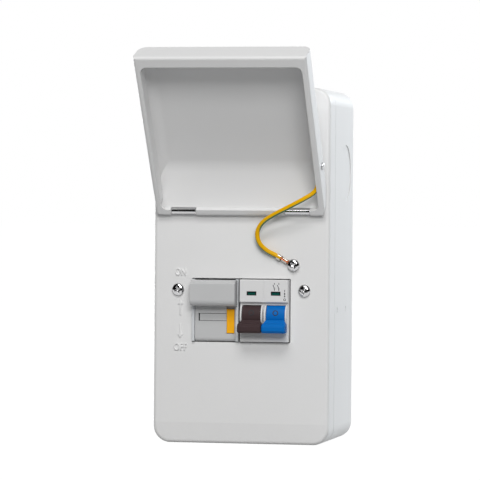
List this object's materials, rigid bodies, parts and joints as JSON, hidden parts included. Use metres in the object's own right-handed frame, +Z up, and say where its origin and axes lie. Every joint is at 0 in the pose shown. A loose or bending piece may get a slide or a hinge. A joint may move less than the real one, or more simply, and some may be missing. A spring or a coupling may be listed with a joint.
{
  "type": "switch fuse unit",
  "caption": "Wall-mounted white steel switch fuse unit with a hinged lid, a double-pole toggle switch and a swing-out fuse carrier behind a cover opening.",
  "frame": {"origin": "middle of the back face that goes against the wall", "axes": "+X to the right seen from the front, +Y into the wall, +Z up"},
  "size_m": [0.13, 0.1748, 0.2848],
  "materials": {
    "enclosure_paint": "white powder coat, fine texture",
    "zinc_plate": "bright zinc plate",
    "bright_plate": "bright nickel plate",
    "tinned_crimp": "tinned",
    "earth_insulation": "yellow with a green stripe",
    "switch_grey": "moulded satin",
    "toggle_brown": "moulded satin",
    "toggle_blue": "moulded satin",
    "flag_green": "printed green",
    "fuse_grey": "moulded satin",
    "carrier_grey": "moulded satin",
    "lock_amber": "moulded gloss",
    "clip_grey": "moulded satin",
    "link_ceramic": "glazed",
    "link_silver": "silver plate",
    "strap_copper": "bare copper",
    "bar_brass": "turned brass"
  },
  "bodies": {
    "enclosure": {"base_box": "enclosure_paint", "front_cover": "enclosure_paint", "rail_bracket": "zinc_plate", "din_rail": "zinc_plate", "rail_screws": "zinc_plate", "cover_pillars": "zinc_plate", "cover_earth_nut": "zinc_plate", "switch_terminal_screws": "zinc_plate", "fuse_terminal_screws": "zinc_plate", "earth_bar_pillars": "zinc_plate", "carrier_pivot": "zinc_plate", "hinge_leaf_left": "bright_plate", "hinge_leaf_right": "bright_plate", "hinge_pins": "bright_plate", "cover_screws": "bright_plate", "cover_earth_screw": "bright_plate", "cover_ring_terminal": "tinned_crimp", "switch_terminals": "tinned_crimp", "fuse_terminals": "tinned_crimp", "earth_lead": "earth_insulation", "switch_body": "switch_grey", "fuse_base": "fuse_grey", "fuse_contact_upper": "link_silver", "fuse_contact_lower": "link_silver", "link_strap": "strap_copper", "earth_bar": "bar_brass", "earth_bar_screws": "bar_brass"},
    "lid": {"lid": "enclosure_paint", "lid_earth_screw": "bright_plate", "lid_earth_nut": "zinc_plate", "lid_ring_terminal": "tinned_crimp"},
    "toggles": {"switch_handle_brown": "toggle_brown", "switch_handle_blue": "toggle_blue", "switch_shaft": "zinc_plate", "handle_tie_pin": "zinc_plate"},
    "flags": {"indicator_flags": "flag_green"},
    "carrier": {"fuse_carrier": "carrier_grey", "fuse_link_body": "link_ceramic", "fuse_link_caps": "link_silver"},
    "lock": {"carrier_lock": "lock_amber"},
    "switch_clip": {"switch_rail_clip": "clip_grey"},
    "fuse_clip": {"fuse_rail_clip": "clip_grey"}
  },
  "joints": [
    {"name": "lid_hinge", "type": "hinge", "parent": "enclosure", "child": "lid", "pos_m": [0, -0.09825, 0.0395], "axis": [-1, 0, 0], "range_deg": [-145.5, 0], "deforming": ["earth_lead"]},
    {"name": "toggle_throw", "type": "hinge", "parent": "enclosure", "child": "toggles", "pos_m": [0, -0.0935, -0.036], "axis": [-1, 0, 0], "range_deg": [0, 70]},
    {"name": "flag_slide", "type": "slide", "parent": "enclosure", "child": "flags", "axis": [0, 0, -1], "range_m": [0, 0.0036]},
    {"name": "carrier_swing", "type": "hinge", "parent": "enclosure", "child": "carrier", "pos_m": [0, -0.0935, -0.052], "axis": [1, 0, 0], "range_deg": [0, 65]},
    {"name": "lock_slide", "type": "slide", "parent": "carrier", "child": "lock", "axis": [0, 0, 1], "range_m": [0, 0.002]},
    {"name": "switch_clip_slide", "type": "slide", "parent": "enclosure", "child": "switch_clip", "axis": [0, 0, -1], "range_m": [0, 0.0036], "stiffness_N_per_m": 300, "springref_m": -0.001},
    {"name": "fuse_clip_slide", "type": "slide", "parent": "enclosure", "child": "fuse_clip", "axis": [0, 0, -1], "range_m": [0, 0.0036], "stiffness_N_per_m": 300, "springref_m": -0.001}
  ],
  "couplings": [
    {"joint": "flag_slide", "follows": "toggle_throw", "m_per_rad": 0.002946}
  ]
}
